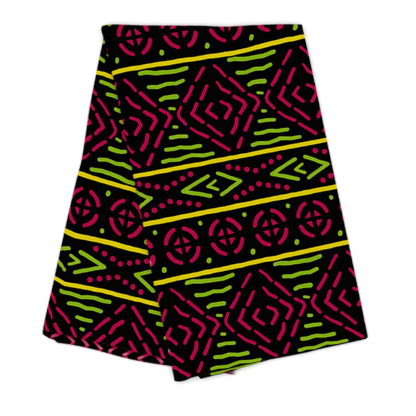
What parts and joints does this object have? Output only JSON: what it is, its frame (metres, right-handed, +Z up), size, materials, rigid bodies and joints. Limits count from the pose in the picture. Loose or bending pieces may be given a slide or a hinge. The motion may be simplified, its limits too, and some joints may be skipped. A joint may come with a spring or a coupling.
{
  "type": "folded length of african wax print cotton",
  "caption": "Folded length of printed cotton cloth: a band turned back on itself so that two wings fan out, laid flat for display, draping on a shelf or cutting.",
  "frame": {"origin": "centre of the bounding box on the flat underside, on the surface it lies on", "axes": "+Z up out of the surface, +Y towards the turn that joins the two wings, +X to the front wing's side as seen from above"},
  "size_m": [0.4708, 0.5162, 0.0114],
  "materials": {
    "wax_print": "black cotton with magenta, lime and yellow wax print, dull, with a pale woven selvedge"
  },
  "bodies": {
    "root": {"front_sheet": "wax_print", "back_sheet": "wax_print", "hidden_layers": "wax_print"}
  },
  "joints": []
}
